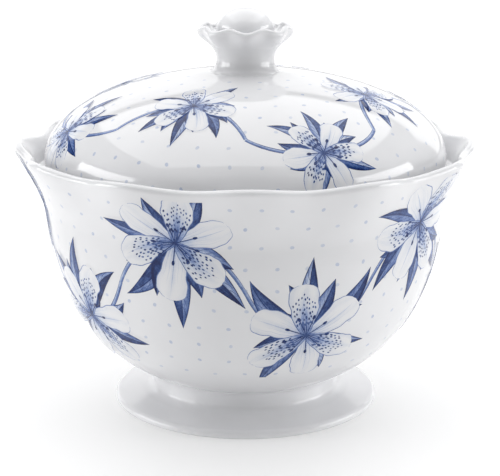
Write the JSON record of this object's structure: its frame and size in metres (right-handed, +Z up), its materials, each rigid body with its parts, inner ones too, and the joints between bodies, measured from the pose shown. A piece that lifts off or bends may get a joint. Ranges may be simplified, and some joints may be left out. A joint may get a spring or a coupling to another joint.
{
  "type": "sugar bowl",
  "caption": "Round footed ceramic sugar bowl with a fluted, outward curling rim and a lift-off domed lid with a scalloped knob.",
  "frame": {"origin": "middle of the foot ring, on the table", "axes": "+Z up along the bowl's axis through the knob; -Y is the side that faces the viewer, +X is to the viewer's right"},
  "size_m": [0.1196, 0.1196, 0.1041],
  "materials": {
    "glaze": "glossy clear glaze on white body"
  },
  "bodies": {
    "bowl": {"bowl_body": "glaze", "foot_ring": "glaze"},
    "lid": {"lid_dome": "glaze", "lid_flange": "glaze", "knob_stem": "glaze", "knob_collar": "glaze", "knob_button": "glaze"}
  },
  "joints": [
    {"name": "lid_lift", "type": "slide", "parent": "bowl", "child": "lid", "axis": [0, 0, 1], "range_m": [0, 0.06]}
  ]
}
